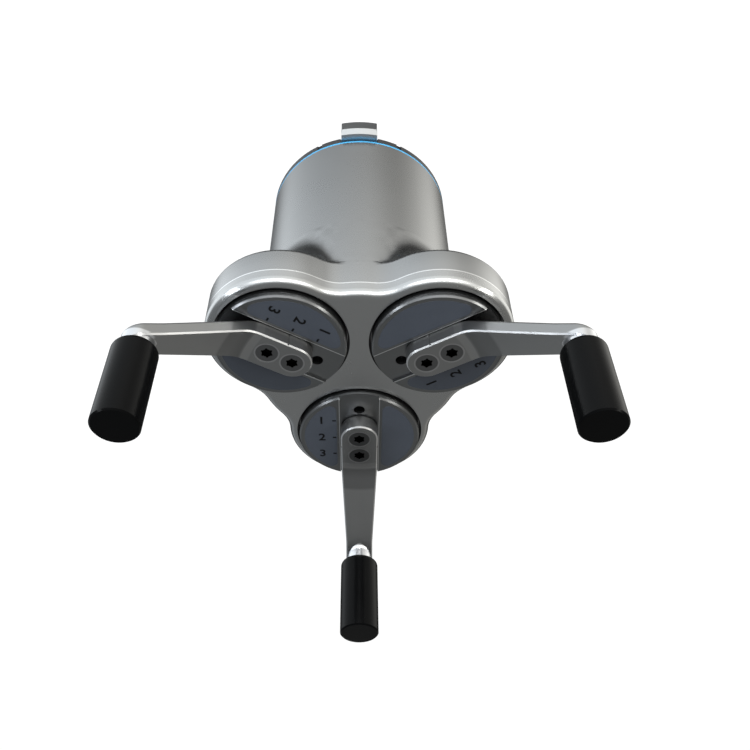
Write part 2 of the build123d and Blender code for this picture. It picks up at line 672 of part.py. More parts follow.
def bearing_outer_rings():
    inner = BEARING_OUTER_RADIUS - BEARING_RING
    ring = tube(inner, BEARING_OUTER_RADIUS, BEARING_BOTTOM, BEARING_TOP)
    shield_bore = BEARING_BORE_RADIUS + BEARING_RING + RUNNING_GAP
    for low in (BEARING_BOTTOM, BEARING_TOP - BEARING_SHIELD):
        ring += tube(shield_bore, inner + BEARING_RING / 2, low, low + BEARING_SHIELD)
    return [at_disc(ring, angle) for angle in LOBE_ANGLES.values()]


def pinion_bush():
    bore = SHAFT_END_RADIUS + RUNNING_GAP
    return tube(bore, PINION_BUSH_RADIUS, SEAM_Z, SEAM_Z + PINION_BUSH_LENGTH)


# Drive


def motor_can():
    """Motor with a joint groove near its front and three spacers for the encoder."""
    can = cylinder(MOTOR_RADIUS, MOTOR_BOTTOM, GEARHEAD_BOTTOM)
    groove_floor = MOTOR_RADIUS - MOTOR_JOINT_GROOVE
    groove_z = GEARHEAD_BOTTOM - MOTOR_JOINT_DEPTH
    can -= tube(groove_floor, MOTOR_RADIUS + CUT_OVERRUN, groove_z, groove_z + MOTOR_JOINT_GROOVE)
    spacer = cylinder(ENCODER_SPACER_RADIUS, MOTOR_BOTTOM - ENCODER_GAP, MOTOR_BOTTOM, ENCODER_SPACER_CIRCLE)
    return can + around(spacer, WAIST_ANGLES)


def gearhead():
    spigot_top = DRIVE_WALL_Z + GEARHEAD_SPIGOT_HEIGHT
    body = cylinder(MOTOR_RADIUS, GEARHEAD_BOTTOM, DRIVE_WALL_Z)
    body += cylinder(GEARHEAD_SPIGOT_RADIUS, DRIVE_WALL_Z, spigot_top)
    bore_floor = DRIVE_WALL_Z - GEARHEAD_BORE_DEPTH
    body -= cylinder(SHAFT_RADIUS + RUNNING_GAP, bore_floor, spigot_top + CUT_OVERRUN)
    thread_floor = DRIVE_WALL_Z - THREAD_GRIP
    thread = cylinder(M3[0] + FIT_GAP, thread_floor, DRIVE_WALL_Z + CUT_OVERRUN, GEARHEAD_SCREW_CIRCLE)
    return body - around(thread, WAIST_ANGLES)


def gearhead_screws():
    length = DRIVE_WALL + THREAD_GRIP - SCREW_HOLE_GAP
    return around(Pos(GEARHEAD_SCREW_CIRCLE, 0, FLOOR_Z) * screw(M3, length, countersunk=True), WAIST_ANGLES)


def drive_pinion():
    """Pinion with its shaft, from the gearhead to the bush in the cover."""
    shaft_bottom = DRIVE_WALL_Z - GEARHEAD_BORE_DEPTH + GEAR_FLOOR_GAP
    pinion = Pos(0, 0, GEAR_BOTTOM) * extrude(gear_face(PINION_TEETH, LOBE_ANGLES["a"]), GEAR_FACE)
    pinion += cylinder(SHAFT_RADIUS, shaft_bottom, GEAR_BOTTOM)
    return pinion + cylinder(SHAFT_END_RADIUS, GEAR_TOP, SEAM_Z + PINION_BUSH_LENGTH - RUNNING_GAP)


def encoder_board():
    top = MOTOR_BOTTOM - ENCODER_GAP
    return cylinder(ENCODER_RADIUS, top - ENCODER_THICKNESS, top)


def board_z():
    return FLANGE_TOP + STANDOFF_HEIGHT


def control_board():
    """Round board with a few packages on it."""
    top = board_z() + BOARD_THICKNESS
    board = cylinder(BOARD_RADIUS, board_z(), top)
    hole = cylinder(M3[0] + SCREW_HOLE_GAP, board_z() - CUT_OVERRUN, top + CUT_OVERRUN, STANDOFF_CIRCLE)
    board -= around(hole, WAIST_ANGLES)
    size_x, size_y, height = BOARD_CHIP
    for angle, share in BOARD_CHIP_PLACES:
        chip = block(size_x * share, size_y, top, top + height, BOARD_RADIUS / 2)
        board += Rot(0, 0, angle) * chip
    return board


def board_standoffs():
    post = cylinder(STANDOFF_RADIUS, FLANGE_TOP, board_z(), STANDOFF_CIRCLE)
    post -= cylinder(M3[0] + FIT_GAP, FLANGE_TOP, board_z() + CUT_OVERRUN, STANDOFF_CIRCLE)
    return around(post, WAIST_ANGLES)


def board_screws():
    length = BOARD_SCREW_GRIP + BOARD_THICKNESS
    return around(Pos(STANDOFF_CIRCLE, 0, board_z() + BOARD_THICKNESS) * screw(M3, length), WAIST_ANGLES)


# Jaw pieces, each in its disc's own frame with +X along the finger


def label_face(side):
    """Segment of a circle with rounded corners, on one side of the channel."""
    height = LABEL_RADIUS - LABEL_INNER_EDGE
    middle = side * (LABEL_INNER_EDGE + height / 2)
    face = Circle(LABEL_RADIUS) & Pos(0, middle) * Rectangle(2 * LABEL_RADIUS, height)
    return fillet(face.vertices(), LABEL_CORNER)


def label(side):
    return Pos(0, 0, LAND_Z - LABEL_THICKNESS) * extrude(label_face(side), LABEL_THICKNESS + LABEL_PROUD)


def gear_screw_places():
    return [GEAR_SCREW_START + 360 * index / GEAR_SCREW_COUNT for index in range(GEAR_SCREW_COUNT)]


def disc():
    """Turned disc with its channel, label pockets, finger holes, hub and spigot."""
    collar = BEARING_BORE_RADIUS + BEARING_RING
    shaft = BEARING_BORE_RADIUS - FIT_GAP
    body = revolved(
        [
            (0, GEAR_BOTTOM),
            (SPIGOT_RADIUS, GEAR_BOTTOM),
            (SPIGOT_RADIUS, BEARING_BOTTOM),
            (shaft, BEARING_BOTTOM),
            (shaft, BEARING_TOP),
            (collar, BEARING_TOP),
            (collar, DISC_BOTTOM),
            (DISC_RADIUS, DISC_BOTTOM),
            (DISC_RADIUS, LAND_Z - DISC_CHAMFER),
            (DISC_RADIUS - DISC_CHAMFER, LAND_Z),
            (0, LAND_Z),
        ]
    )
    body -= block(2 * DISC_RADIUS + CUT_OVERRUN, CHANNEL_WIDTH, CHANNEL_Z, LAND_Z + CUT_OVERRUN)
    for side in (-1, 1):
        pocket = extrude(label_face(side), LABEL_THICKNESS + CUT_OVERRUN)
        body -= Pos(0, 0, LAND_Z - LABEL_THICKNESS) * pocket
        for place in (HOLE_PITCH / 2, HOLE_PITCH + HOLE_PITCH / 2):
            body -= cylinder(HOLE_RADIUS, CHANNEL_Z - HOLE_DEPTH, LAND_Z, side * place)
    thread_end = BEARING_BOTTOM + THREAD_GRIP
    thread = cylinder(M3[0] + FIT_GAP, BEARING_BOTTOM - CUT_OVERRUN, thread_end, GEAR_SCREW_CIRCLE)
    return body - around(thread, gear_screw_places())


def bearing_inner_ring():
    return tube(BEARING_BORE_RADIUS, BEARING_BORE_RADIUS + BEARING_RING, BEARING_BOTTOM, BEARING_TOP)


def jaw_gear(angle):
    """Spur gear with a collar that clamps the bearing's inner ring."""
    gear = Pos(0, 0, GEAR_BOTTOM) * extrude(gear_face(JAW_GEAR_TEETH, jaw_gear_phase(angle)), GEAR_FACE)
    gear += cylinder(BEARING_BORE_RADIUS + BEARING_RING, GEAR_TOP, BEARING_BOTTOM)
    gear -= cylinder(SPIGOT_RADIUS + FIT_GAP, GEAR_BOTTOM - CUT_OVERRUN, BEARING_BOTTOM + CUT_OVERRUN)
    depth = BEARING_BOTTOM - GEAR_BOTTOM + CUT_OVERRUN
    sink = Pos(GEAR_SCREW_CIRCLE, 0, GEAR_BOTTOM) * Rot(180, 0, 0) * countersink(M3, depth)
    return gear - around(sink, gear_screw_places())


def gear_screws():
    length = BEARING_BOTTOM - GEAR_BOTTOM + THREAD_GRIP - SCREW_HOLE_GAP
    one = Rot(180, 0, 0) * screw(M3, length, countersunk=True)
    return around(Pos(GEAR_SCREW_CIRCLE, 0, GEAR_BOTTOM) * one, gear_screw_places())


def arm_front(x):
    """Height of the arm's front face at a distance from the disc's centre."""
    return LAND_Z + FOOT_HEIGHT + (x - ARM_BEND) * tan(radians(ARM_SLOPE))


def finger():
    """Foot with a round nose, bent and tapered arm, and the boss that carries the tip."""
    end = FINGER_LENGTH + TIP_HALF_WIDTH
    nose = -NOSE_CENTRE - FOOT_HALF_WIDTH
    foot_top = LAND_Z + FOOT_HEIGHT
    drop = ARM_THICKNESS / cos(radians(ARM_SLOPE))
    rear_bend = ARM_BEND + (CHANNEL_Z + drop - foot_top) / tan(radians(ARM_SLOPE))
    side = make_face(
        Polyline(
            [
                (nose, 0, CHANNEL_Z),
                (rear_bend, 0, CHANNEL_Z),
                (end, 0, arm_front(end) - drop),
                (end, 0, arm_front(end)),
                (ARM_BEND, 0, foot_top),
                (nose, 0, foot_top),
            ],
            close=True,
        )
    )
    bends = side.vertices().sort_by(Axis.X)[2:4].sort_by(Axis.Z)
    side = fillet(bends[0], BEND_RADIUS + ARM_THICKNESS)
    bend = side.vertices().sort_by_distance((ARM_BEND, 0, foot_top))[0]
    side = fillet(bend, BEND_RADIUS)
    slab = extrude(side, FOOT_HALF_WIDTH + CUT_OVERRUN, dir=(0, 1, 0), both=True)
    edges = [
        ThreePointArc((-NOSE_CENTRE, FOOT_HALF_WIDTH), (nose, 0), (-NOSE_CENTRE, -FOOT_HALF_WIDTH)),
        ThreePointArc((FINGER_LENGTH, -TIP_HALF_WIDTH), (end, 0), (FINGER_LENGTH, TIP_HALF_WIDTH)),
    ]
    for way in (-1, 1):
        corners = [
            (-NOSE_CENTRE, way * FOOT_HALF_WIDTH),
            (TAPER_START, way * FOOT_HALF_WIDTH),
            (TAPER_END, way * TIP_HALF_WIDTH),
            (FINGER_LENGTH, way * TIP_HALF_WIDTH),
        ]
        edges.append(Polyline(corners))
    plan = make_face(edges)
    corners = [corner for corner in plan.vertices() if corner.X > 0 and corner.X < FINGER_LENGTH]
    plan = fillet(corners, TAPER_BLEND)
    arm = slab & Pos(0, 0, CHANNEL_Z) * extrude(plan, arm_front(end))
    rear = [edge for edge in arm.edges() if is_rear_edge(edge)]
    arm = fillet(rear, ARM_REAR_ROUNDING)
    front = [edge for edge in arm.edges() if is_front_edge(edge)]
    arm = chamfer(front, ARM_FRONT_CHAMFER)
    middle = drop / 2
    above = make_face(
        Polyline(
            [
                (0, 0, arm_front(0) - middle),
                (2 * end, 0, arm_front(2 * end) - middle),
                (0, 0, arm_front(2 * end)),
            ],
            close=True,
        )
    )
    above = extrude(above, end, dir=(0, 1, 0), both=True)
    arm -= block(2 * end, 2 * end, BOSS_Z, BOSS_Z + BOSS_HEIGHT)
    arm += cylinder(BOSS_RADIUS, LAND_Z, BOSS_Z, FINGER_LENGTH) & above
    arm += boss_flare() & above
    low = CHANNEL_Z - CUT_OVERRUN
    high = foot_top + CUT_OVERRUN
    for side in (-1, 1):
        arm -= Pos(side * HOLE_PITCH / 2, 0, foot_top) * countersink(FINGER_SCREW, foot_top - low)
        arm -= block(INDEX_WIDTH, 2 * INDEX_DEPTH, low, high, 0, side * FOOT_HALF_WIDTH)
    thread_floor = BOSS_Z - CORE_THREAD_DEPTH
    return arm - cylinder(CORE_THREAD_RADIUS + FIT_GAP, thread_floor, BOSS_Z + CUT_OVERRUN, FINGER_LENGTH)


def crosses_arm(edge):
    """True for a straight edge from one side of the arm to the other."""
    return edge.geom_type == GeomType.LINE and abs((edge % 0.5).Y) > abs((edge % 0.5).X)


def is_rear_edge(edge):
    """True for an edge round the underside of the foot or the rear face of the arm."""
    if crosses_arm(edge):
        return False
    place = edge.center()
    drop = ARM_THICKNESS / cos(radians(ARM_SLOPE))
    return place.Z < max(CHANNEL_Z, arm_front(place.X) - drop) + ARM_THICKNESS * ARM_EDGE_SHARE


def is_front_edge(edge):
    """True for an edge round the top of the foot or the front face of the arm."""
    if crosses_arm(edge):
        return False
    place = edge.center()
    return place.Z > max(LAND_Z + FOOT_HEIGHT, arm_front(place.X)) - ARM_THICKNESS * ARM_EDGE_SHARE


def boss_flare():
    """Collar round the boss whose arc runs from its wall into the sloped front face."""
    turn = radians(ARM_SLOPE)
    wall_x = FINGER_LENGTH - BOSS_RADIUS
    centre_z = arm_front(wall_x - BOSS_BLEND) + BOSS_BLEND / cos(turn)
    wall = (BOSS_RADIUS, 0, centre_z)
    foot = (BOSS_RADIUS + BOSS_BLEND * (1 - sin(turn)), 0, centre_z - BOSS_BLEND * cos(turn))
    half = (pi / 2 - turn) / 2
    middle = (BOSS_RADIUS + BOSS_BLEND * (1 - cos(half)), 0, centre_z - BOSS_BLEND * sin(half))
    edges = [
        ThreePointArc(wall, middle, foot),
        Polyline(foot, (0, 0, foot[2]), (0, 0, centre_z), wall),
    ]
    flare = Pos(FINGER_LENGTH, 0, 0) * revolve(make_face(edges), Axis.Z)
    width = 2 * (TIP_HALF_WIDTH - ARM_FRONT_CHAMFER - FIT_GAP)
    return flare & block(FINGER_LENGTH, width, LAND_Z, BOSS_Z, FINGER_LENGTH / 2)


def tip_core():
    """Steel stud: threaded end in the boss and a plain pin for the sleeve."""
    pin = cylinder(CORE_RADIUS, BOSS_Z, TIP_Z - SLEEVE_END_WALL, FINGER_LENGTH)
    return pin + cylinder(CORE_THREAD_RADIUS, BOSS_Z - CORE_THREAD_DEPTH, BOSS_Z, FINGER_LENGTH)


def tip_sleeve():
    """Closed sleeve with a rounded near end and a small chamfer at the tip."""
    sleeve = cylinder(SLEEVE_RADIUS, BOSS_Z, TIP_Z)
    sleeve = fillet(sleeve.edges().group_by(Axis.Z)[0], SLEEVE_ROUNDING)
    sleeve = chamfer(sleeve.edges().group_by(Axis.Z)[-1], SLEEVE_CHAMFER)
    sleeve -= cylinder(CORE_RADIUS + FIT_GAP, BOSS_Z - CUT_OVERRUN, TIP_Z - SLEEVE_END_WALL)
    return Pos(FINGER_LENGTH, 0, 0) * sleeve


def finger_screws():
    length = FOOT_HEIGHT + CHANNEL_DEPTH + THREAD_GRIP
    one = screw(FINGER_SCREW, length, countersunk=True, socket=star_socket)
    return [Pos(side * HOLE_PITCH / 2, 0, LAND_Z + FOOT_HEIGHT) * one for side in (-1, 1)]


FIXED_PIECES = {
    "adapter_plate": adapter_plate,
    "latch_cover_ring": latch_cover_ring,
    "contact_block": contact_block,
    "contact_pins": contact_pins,
    "contact_pad_board": contact_pad_board,
    "coupling_plate": coupling_plate,
    "coupling_screws": coupling_screws,
    "sealing_ring": sealing_ring,
    "main_housing": main_housing,
    "cover_gasket": cover_gasket,
    "front_cover": front_cover,
    "cover_screws": cover_screws,
    "disc_seals": disc_seals,
    "disc_bearing_outer_rings": bearing_outer_rings,
    "pinion_bush": pinion_bush,
    "motor_can": motor_can,
    "gearhead": gearhead,
    "gearhead_screws": gearhead_screws,
    "encoder_board": encoder_board,
    "control_board": control_board,
    "board_standoffs": board_standoffs,
    "board_screws": board_screws,
    "drive_pinion": drive_pinion,
    "release_button": release_button,
    "latch_plate": latch_plate,
    "latch_springs": latch_springs,
}

JAW_PIECES = {
    "disc": disc,
    "bearing_inner_ring": bearing_inner_ring,
    "gear_screws": gear_screws,
    "number_label": lambda: label(-1),
    "plain_label": lambda: label(1),
    "finger": finger,
    "finger_screws": finger_screws,
    "tip_core": tip_core,
    "tip_sleeve": tip_sleeve,
}


def as_solids(shape):
    """Solids of one piece, or of a group of like pieces."""
    group = shape if isinstance(shape, list) else [shape]
    return [solid for item in group for solid in item.solids()]


def main():
    os.makedirs("parts", exist_ok=True)
    nodes = {name: as_solids(make()) for name, make in FIXED_PIECES.items()}
    for name, make in JAW_PIECES.items():
        solids = as_solids(make())
        for letter, angle in LOBE_ANGLES.items():
            nodes[f"jaw_{letter}_{name}"] = [at_disc(solid, angle) for solid in solids]
    for letter, angle in LOBE_ANGLES.items():
        nodes[f"jaw_{letter}_gear"] = as_solids(at_disc(jaw_gear(angle), angle))
    for name, solids in nodes.items():
        shape = solids[0] if len(solids) == 1 else Compound(children=solids)
        shape.label = name
        export_step(shape, os.path.join("parts", name + ".step"))


if __name__ == "__main__":
    main()
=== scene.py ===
import json
import math

import bpy
from mathutils import Matrix, Vector


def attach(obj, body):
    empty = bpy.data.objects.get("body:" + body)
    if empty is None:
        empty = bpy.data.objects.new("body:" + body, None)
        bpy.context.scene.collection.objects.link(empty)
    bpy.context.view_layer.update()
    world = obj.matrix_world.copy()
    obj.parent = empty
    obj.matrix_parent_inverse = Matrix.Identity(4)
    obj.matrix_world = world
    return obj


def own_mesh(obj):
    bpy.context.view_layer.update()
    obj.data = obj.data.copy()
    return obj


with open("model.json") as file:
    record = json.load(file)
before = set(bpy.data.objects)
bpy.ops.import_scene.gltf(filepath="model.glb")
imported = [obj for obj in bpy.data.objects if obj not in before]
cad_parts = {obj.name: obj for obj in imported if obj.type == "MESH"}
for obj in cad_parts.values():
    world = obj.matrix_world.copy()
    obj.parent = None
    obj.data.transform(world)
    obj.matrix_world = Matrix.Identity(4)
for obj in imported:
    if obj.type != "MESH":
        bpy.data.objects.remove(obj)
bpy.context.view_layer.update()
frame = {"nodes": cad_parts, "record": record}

NODES = frame["nodes"]

# Measures of the part, in metres and degrees

JAWS = {"a": 90, "b": 210, "c": 330}
DISC_CIRCLE = 0.033
FINGER_LENGTH = 0.0492
TIP_CIRCLE = DISC_CIRCLE + FINGER_LENGTH
HOLE_PITCH = 0.010
CHANNEL_WIDTH = 0.0154
SEAM = 0.1105
DISC_TOP = 0.120
FOOT_TOP = 0.1255

# The photograph's camera, in its pixels, metres and degrees

PHOTO_SIZE = 750
PHOTO_MIDDLE = (359.3, 380.4)
FOCAL_LENGTH = 837.376
SENSOR_WIDTH = 36
CAMERA_PLACE = (0, -0.22367, 0.34163)
CAMERA_TILT = 44.69
CLIPPING = (0.01, 100)

# Where finishes, painted light and painted shade change, each from nothing to full over a span in metres

SEAM_LINE = (0.00018, 0.0003)
BODY_RISE = (0.094, SEAM)
LOBE_RISE = (0.098, SEAM)
LOBE_WALL = (0.042, 0.05)
DISC_RIM = (0.0255, 0.026)
DISC_FACE = (DISC_TOP - 0.0003, DISC_TOP - 0.0002)
CHANNEL_EDGE = (0.00018, 0.00034)
CHANNEL_FLOOR = (DISC_TOP - 0.002, DISC_TOP - 0.0016)
CHANNEL_WALL = (DISC_TOP - 0.0008, DISC_TOP - 0.0004)
CHANNEL_SHADE = (-0.002, 0.01)
HEAD_RIM = (0.0039, 0.0042)
HEAD_FACE = (FOOT_TOP - 0.0002, FOOT_TOP - 0.0001)
BOSS_WALL = (0.0056, 0.0062)
BOSS_FOOT = (0.1425, 0.1432)
BEND_CIRCLE = 0.0505
BEND_BAND = (0.001, 0.005)
HIGHLIGHT_STREAK_CIRCLE = 0.0445
HIGHLIGHT_STREAK_BAND = (0.0003, 0.0018)

# Noise scales, shares and colours of the finishes, and of the painted light and shade

GRAIN_SCALE = 2600.0
CLOUD_SCALE = 18.0
ARM_CLOUD_SCALE = 25.0
PLASTIC_GRAIN_SCALE = 1400.0
PLASTIC_CLOUD_SCALE = 40.0
TURNING_MARKS = (4.0, 4.0, 900.0)
GRINDING_MARKS = (300.0, 300.0, 2500.0)
MIDDLE_TONE = 0.5
ARM_TONE = 0.56
CLOUD_TONE_SWING = 0.12
GRAIN_TONE_SWING = 0.03
DISC_TONE_SWING = 0.3
ARM_TONE_SWING = 0.4
PLASTIC_TONE_SWING = 0.6
CLOUD_ROUGH_SWING = 0.1
GRAIN_ROUGH_SWING = 0.04
PLASTIC_ROUGH_SWING = 0.12
STEEL_ROUGH_SWING = 0.12
SCREW_ROUGHNESS = 0.3
DISC_ROUGHNESS = 0.3
ARM_ROUGHNESS = 0.38
BOSS_ROUGHNESS = 0.28
BLASTED_SHADES = (0.86, 1.14)
PLASTIC_SHADES = (0.8, 1.2)
STEEL_SHADES = (0.85, 1.1)
BUMP_DEPTH = 0.0001
BLASTED_BUMP = 0.025
ARM_BUMP = 0.06
PLASTIC_BUMP = 0.06
STEEL_BUMP = 0.05
PAINTED_LIGHT_LIFT = 0.5
PAINTED_SHADE_DROP = 0.9
CHANNEL_SHADOW_STRENGTH = 0.75
BEND_REFLECTION_DARKNESS = 1.2
PAINTED_HIGHLIGHT_LIGHTNESS = 0.9
EDGE_HIGHLIGHT_SHARE = 0.65
EDGE_HIGHLIGHT_SLOPE = (0.25, 0.45)
EDGE_HIGHLIGHT_TOP = (0.76, 0.84)
EDGE_HIGHLIGHT = (0.75, 0.76, 0.77)
SEAM_HIGHLIGHT = (0.8, 0.81, 0.82)
DISC_METAL = ((0.185, 0.19, 0.195), (0.215, 0.22, 0.225))
CHANNEL_SHADOW_COLOUR = (0.02, 0.02, 0.021)
ARM_METAL = ((0.2, 0.203, 0.206), (0.36, 0.362, 0.365))
BOSS_METAL = (0.62, 0.63, 0.65)
SCREW_METAL = ((0.15, 0.152, 0.156), (0.42, 0.42, 0.43))
SOCKET_SHADE = (0.003, 0.003, 0.003)

# Light of the studio and the spans of direction in which it changes, from -1 to 1

PANEL_LEVEL = 1.95
PANEL_DEPTH = (-0.95, -0.35)
PANEL_TOP = (0.5, 0.85)
OVERHEAD_LEVEL = 0.27
BEHIND_LEVEL = 0.25
BEHIND_DEPTH = (0.3, 0.95)
BEHIND_TOP = (0.05, 0.45)
STRAIGHT_DOWN_LEVEL = 0.04
BELOW_LEVEL = 1.5
BELOW_HEIGHT = (-0.97, -0.72)
BELOW_SIDES = 0.2
BELOW_SIDES_DEPTH = (-0.8, 0.45)
BELOW_BACK = 1.2
BELOW_BACK_DEPTH = (0.25, 0.85)
BELOW_RIGHT = 0.35
BELOW_RIGHT_PLACE = (-0.78, -0.62)
BELOW_RIGHT_SPREAD = (0.05, 0.75)
HORIZON = (-0.25, 0.05)
TINT_WIDTH = (-0.6, 0.6)
WARM_SKY = (1.0, 0.985, 0.93)
COOL_SKY = (0.92, 0.97, 1.0)
WARM_LAMP = (1.0, 0.98, 0.92)
COOL_LAMP = (0.9, 0.95, 1.0)
WHITE = (1.0, 1.0, 1.0)
LAMP_AIM = (0, 0, 0.09)
BUTTON_LAMP_POWER = 5.0
STRIP_LAMP_POWER = 2.4
TINY = 0.0001
FLOOR_RADIUS = 3.0
FLOOR_CORNERS = 96
FLOOR_GLOW = 0.85
FLOOR_SEEN = (0.35, 0.35, 0.35)
FLOOR_LIGHT = (0.8, 0.8, 0.8)

# Print on the number labels, in metres apart from the smoothness

NUMBER_SIZE = 0.0058
NUMBER_SMOOTHNESS = 6
NUMBER_LINE = 0.0150
DASH_LINE = 0.0100
DASH_SIZE = (0.0014, 0.0007, 0.00004)
INK_LIFT = 0.0001
INK_THICKNESS = 0.00002
INK_SPREAD = 0.0001


def around_axis(radius, angle):
    """Place at this radius and angle about the part's long axis."""
    return radius * math.cos(math.radians(angle)), radius * math.sin(math.radians(angle))


# Camera

def make_camera():
    """Camera at the photograph's place, which looks down on the discs with the fingers towards it."""
    camera = bpy.data.cameras.new("camera")
    camera.sensor_width = SENSOR_WIDTH
    camera.lens = FOCAL_LENGTH * SENSOR_WIDTH / PHOTO_SIZE
    camera.shift_x = (PHOTO_SIZE / 2 - PHOTO_MIDDLE[0]) / PHOTO_SIZE
    camera.shift_y = (PHOTO_MIDDLE[1] - PHOTO_SIZE / 2) / PHOTO_SIZE
    camera.clip_start, camera.clip_end = CLIPPING
    holder = bpy.data.objects.new("camera", camera)
    bpy.context.scene.collection.objects.link(holder)
    tilt = math.radians(CAMERA_TILT)
    right = Vector((-1, 0, 0))
    up = Vector((0, -math.sin(tilt), -math.cos(tilt)))
    back = Vector((0, -math.cos(tilt), math.sin(tilt)))
    turn = Matrix((right, up, back)).transposed().to_4x4()
    holder.matrix_world = Matrix.Translation(CAMERA_PLACE) @ turn
    bpy.context.scene.camera = holder


# Shader writing

class Socket:
    """A node's output that can be added, multiplied and compared as a number."""

    def __init__(self, sheet, link):
        self.sheet = sheet
        self.link = link

    def maths(self, operation, *values):
        return self.sheet.node("ShaderNodeMath", {"operation": operation}, *values)

    def __add__(self, other):
        return self.maths("ADD", self, other)

    def __radd__(self, other):
        return self.maths("ADD", other, self)

    def __sub__(self, other):
        return self.maths("SUBTRACT", self, other)

    def __rsub__(self, other):
        return self.maths("SUBTRACT", other, self)

    def __mul__(self, other):
        return self.maths("MULTIPLY", self, other)

    def __rmul__(self, other):
        return self.maths("MULTIPLY", other, self)

    def __truediv__(self, other):
        return self.maths("DIVIDE", self, other)

    def __pow__(self, other):
        return self.maths("POWER", self, other)

    def least(self, other):
        return self.maths("MINIMUM", self, other)

    def most(self, other):
        return self.maths("MAXIMUM", self, other)

    def ramp(self, low, high):
        """0 below low, 1 above high, smooth between."""
        settings = {"interpolation_type": "SMOOTHSTEP"}
        return self.sheet.node("ShaderNodeMapRange", settings, self, low, high, 0.0, 1.0)

    def band(self, middle, core, reach):
        """1 within core of the middle, 0 beyond reach of it, smooth between."""
        gap = self - middle
        return 1.0 - (gap * gap).ramp(core ** 2, reach ** 2)

    def swing(self, amount):
        """A noise from 0 to 1 as a change of this amount about nothing."""
        return (self - 0.5) * amount


def length(*parts):
    """Length of the vector with these parts."""
    total = parts[0] * parts[0]
    for part in parts[1:]:
        total = total + part * part
    return total ** 0.5


def nearest(x, y, places):
    """Distance from the nearest of these places, seen along the part's axis."""
    least = None
    for place_x, place_y in places:
        away = length(x - place_x, y - place_y)
        least = away if least is None else least.least(away)
    return least


def shades(colour, factors):
    """The colour made darker and lighter by these factors."""
    return [tuple(min(channel * factor, 1.0) for channel in colour) for factor in factors]


class Sheet:
    """The node tree of a material or world, written one node at a time."""

    def __init__(self, name, kind=bpy.data.materials):
        self.block = kind.new(name)
        self.block.use_nodes = True
        self.tree = self.block.node_tree
        self.tree.nodes.clear()

    def node(self, kind, settings, *values, output=0, **named):
        made = self.tree.nodes.new(kind)
        for key, value in settings.items():
            setattr(made, key, value)
        for index, value in enumerate(values):
            self.put(made.inputs[index], value)
        for key, value in named.items():
            self.put(made.inputs[key.replace("_", " ")], value)
        return Socket(self, made.outputs[output])

    def put(self, entry, value):
        """Links a socket to a node's input, or sets the input; a colour gets its fourth number."""
        if isinstance(value, Socket):
            self.tree.links.new(value.link, entry)
        elif isinstance(value, tuple) and entry.type == "RGBA" and len(value) == 3:
            entry.default_value = (*value, 1.0)
        else:
            entry.default_value = value

    def split(self, vector):
        """The three parts of a vector as sockets."""
        made = self.tree.nodes.new("ShaderNodeSeparateXYZ")
        self.put(made.inputs[0], vector)
        return [Socket(self, output) for output in made.outputs]

    def place(self):
        return self.node("ShaderNodeTexCoord", {}, output="Object")

    def axes(self):
        return self.split(self.place())

    def noise(self, scale, detail, rough):
        where = self.place()
        return self.node("ShaderNodeTexNoise", {}, Vector=where, Scale=scale, Detail=detail, Roughness=rough)

    def cloud(self, scale=CLOUD_SCALE):
        return self.noise(scale, 4.0, 0.6)

    def grain(self):
        return self.noise(GRAIN_SCALE, 2.0, 0.5)

    def marks(self, scales):
        """Noise drawn out by a scale for each axis, as a tool's marks are."""
        where = self.node("ShaderNodeMapping", {}, Vector=self.place(), Scale=scales)
        return self.node("ShaderNodeTexNoise", {}, Vector=where, Scale=1.0, Detail=3.0, Roughness=0.6)

    def mix(self, share, first, second):
        """Mix of two colours; the Mix node's colour inputs are its 6 and 7, its colour output its 2."""
        made = self.tree.nodes.new("ShaderNodeMix")
        made.data_type = "RGBA"
        self.put(made.inputs["Factor"], share)
        self.put(made.inputs[6], first)
        self.put(made.inputs[7], second)
        return Socket(self, made.outputs[2])

    def bump(self, height, strength):
        return self.node("ShaderNodeBump", {}, Height=height, Strength=strength, Distance=BUMP_DEPTH)

    def ray(self, kind):
        return self.node("ShaderNodeLightPath", {}, output=f"Is {kind} Ray")

    def looked_at(self):
        """1 for what the camera sees, directly or through something clear, 0 for light and reflections."""
        return self.ray("Camera").most(self.ray("Transmission"))

    def surface(self, shader, kind="ShaderNodeOutputMaterial"):
        out = self.tree.nodes.new(kind)
        self.tree.links.new(shader.link, out.inputs["Surface"])

    def finish(self, **sockets):
        """Ends the material with one principled shader and returns it."""
        self.surface(self.node("ShaderNodeBsdfPrincipled", {}, **sockets))
        return self.block


# Finishes

def blasted_aluminium(name, colour, rough, turned=0.0, seam=None, front=0.0):
    """Blasted and anodised metal: fine grain, slight cloudiness, turning marks, a painted highlight along
    the seam.

    Front sets painted light and shade: lighter towards the seam on the body and darker low on the lobes'
    walls."""
    sheet = Sheet(name)
    cloud = sheet.cloud()
    grain = sheet.grain()
    x, y, z = sheet.axes()
    tone = cloud.swing(CLOUD_TONE_SWING) + grain.swing(GRAIN_TONE_SWING)
    tone = tone + sheet.marks(TURNING_MARKS).swing(turned) + MIDDLE_TONE
    lobe = length(x, y).ramp(*LOBE_WALL)
    # painted light towards the seam on the body and painted shade low on the lobes' walls, by the share
    # front
    tone = tone + z.ramp(*BODY_RISE) * front * PAINTED_LIGHT_LIFT
    tone = tone - lobe * (1.0 - z.ramp(*LOBE_RISE)) * front * PAINTED_SHADE_DROP
    tinted = sheet.mix(tone, *shades(colour, BLASTED_SHADES))
    # painted highlight: a bright line along the seam
    if seam is not None:
        tinted = sheet.mix(length(z - seam).ramp(*SEAM_LINE), SEAM_HIGHLIGHT, tinted)
    return sheet.finish(
        Base_Color=tinted,
        Metallic=1.0,
        Roughness=cloud.swing(CLOUD_ROUGH_SWING) + grain.swing(GRAIN_ROUGH_SWING) + rough,
        Normal=sheet.bump(grain, BLASTED_BUMP),
    )


